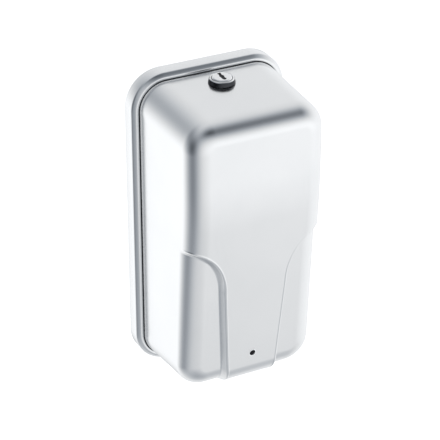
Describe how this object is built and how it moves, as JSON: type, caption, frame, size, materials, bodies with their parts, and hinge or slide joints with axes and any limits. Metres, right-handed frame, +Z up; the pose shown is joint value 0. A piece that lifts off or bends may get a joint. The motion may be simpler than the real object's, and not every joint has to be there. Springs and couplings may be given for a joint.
{
  "type": "wall mounted soap dispenser",
  "caption": "Touch-free wall soap dispenser: lockable stainless cover hinged on a back pan, over a refillable tank, roller tube pump with geared motor, batteries and sensor head.",
  "frame": {"origin": "centre of the back pan's flat wall face", "axes": "+X to the viewer's right, +Y into the wall, +Z up"},
  "size_m": [0.13, 0.1, 0.254],
  "materials": {
    "cover_steel": "satin, drawn sheet, softly reflective",
    "pan_steel": "satin, rolled rim",
    "lock_chrome": "bright plated, fine turned marks",
    "zinc": "zinc plated, dull bright",
    "grey_plastic": "moulded, fine texture",
    "white_plastic": "moulded, semi-matte",
    "black_plastic": "moulded, fine texture",
    "tank_plastic": "translucent natural, blow moulded",
    "clear_plastic": "clear, polished",
    "silicone": "translucent, soft sheen",
    "nozzle_rubber": "matte",
    "acetal": "natural, slightly waxy",
    "brass": "machined",
    "smoked_window": "polished, near black",
    "board": "solder mask over glass fibre",
    "red_plastic": "moulded, semi-gloss",
    "battery_jacket": "printed jacket over steel, plain"
  },
  "bodies": {
    "back": {"back_pan": "pan_steel", "chassis": "grey_plastic", "chassis_screw_1": "zinc", "chassis_screw_2": "zinc", "chassis_screw_3": "zinc", "chassis_screw_4": "zinc", "tank": "tank_plastic", "tank_outlet": "acetal", "lid_pin": "zinc", "pump_housing": "white_plastic", "pump_cap": "clear_plastic", "pump_tube": "silicone", "idler_axle": "zinc", "gear_plate": "grey_plastic", "motor": "zinc", "dispensing_head": "grey_plastic", "nozzle": "nozzle_rubber", "ir_emitter": "smoked_window", "ir_receiver": "smoked_window", "led_board": "board", "led_lamp": "red_plastic", "battery_box": "black_plastic", "battery_1": "battery_jacket", "battery_2": "battery_jacket", "battery_spring_1": "zinc", "battery_spring_2": "zinc", "battery_contact_1": "brass", "battery_contact_2": "brass", "battery_door_pin": "zinc", "control_box": "black_plastic", "circuit_board": "board", "pan_hinge": "zinc", "hinge_pin": "zinc", "lock_keeper": "zinc"},
    "cover": {"cover": "cover_steel", "cover_hinge": "zinc", "lock_body": "lock_chrome", "lock_nut": "zinc", "led_window": "smoked_window", "led_grommet": "lock_chrome"},
    "lock": {"lock_plug": "lock_chrome", "lock_cam": "zinc", "cam_screw": "zinc"},
    "lid": {"refill_lid": "grey_plastic"},
    "rotor": {"pump_rotor": "white_plastic", "rotor_gear": "acetal", "rotor_shaft": "zinc", "roller_pin_1": "zinc", "roller_pin_2": "zinc", "roller_pin_3": "zinc"},
    "roller_a": {"roller_1": "acetal"},
    "roller_b": {"roller_2": "acetal"},
    "roller_c": {"roller_3": "acetal"},
    "idler": {"idler_gear": "acetal"},
    "armature": {"motor_shaft": "zinc", "motor_pinion": "brass"},
    "battery_door": {"battery_door": "black_plastic"},
    "switch": {"power_switch": "red_plastic"},
    "button": {"prime_button": "white_plastic"}
  },
  "joints": [
    {"name": "cover_hinge", "type": "hinge", "parent": "back", "child": "cover", "pos_m": [0, -0.0215, -0.116], "axis": [1, 0, 0], "range_deg": [0, 90]},
    {"name": "lock_turn", "type": "hinge", "parent": "cover", "child": "lock", "pos_m": [0, -0.0354, 0.12088], "axis": [0, -0.0379, 0.9993], "range_deg": [-90, 0]},
    {"name": "lid_hinge", "type": "hinge", "parent": "back", "child": "lid", "pos_m": [0, -0.049, 0.0842], "axis": [-1, 0, 0], "range_deg": [0, 85]},
    {"name": "rotor_spin", "type": "hinge", "parent": "back", "child": "rotor", "pos_m": [-0.02, -0.053, -0.062], "axis": [0, 1, 0], "continuous": true},
    {"name": "roller_a_spin", "type": "hinge", "parent": "rotor", "child": "roller_a", "pos_m": [-0.01186, -0.053, -0.0573], "axis": [0, 1, 0], "continuous": true},
    {"name": "roller_b_spin", "type": "hinge", "parent": "rotor", "child": "roller_b", "pos_m": [-0.02814, -0.053, -0.0573], "axis": [0, 1, 0], "continuous": true},
    {"name": "roller_c_spin", "type": "hinge", "parent": "rotor", "child": "roller_c", "pos_m": [-0.02, -0.053, -0.0714], "axis": [0, 1, 0], "continuous": true},
    {"name": "idler_spin", "type": "hinge", "parent": "back", "child": "idler", "pos_m": [-0.02, -0.038, -0.0404], "axis": [0, 1, 0], "continuous": true},
    {"name": "motor_spin", "type": "hinge", "parent": "back", "child": "armature", "pos_m": [-0.0361, -0.036, -0.0404], "axis": [0, 1, 0], "continuous": true},
    {"name": "battery_door_hinge", "type": "hinge", "parent": "back", "child": "battery_door", "pos_m": [0.0499, -0.0416, -0.067], "axis": [0, 0, 1], "range_deg": [0, 75]},
    {"name": "power_slide", "type": "slide", "parent": "back", "child": "switch", "axis": [1, 0, 0], "range_m": [0, 0.004]},
    {"name": "prime_press", "type": "slide", "parent": "back", "child": "button", "axis": [0, 1, 0], "range_m": [0, 0.002], "stiffness_N_per_m": 400}
  ],
  "couplings": [
    {"joint": "roller_a_spin", "follows": "rotor_spin", "ratio": -3.35},
    {"joint": "roller_b_spin", "follows": "rotor_spin", "ratio": -3.35},
    {"joint": "roller_c_spin", "follows": "rotor_spin", "ratio": -3.35},
    {"joint": "idler_spin", "follows": "rotor_spin", "ratio": -3.5},
    {"joint": "motor_spin", "follows": "rotor_spin", "ratio": 12.6}
  ]
}
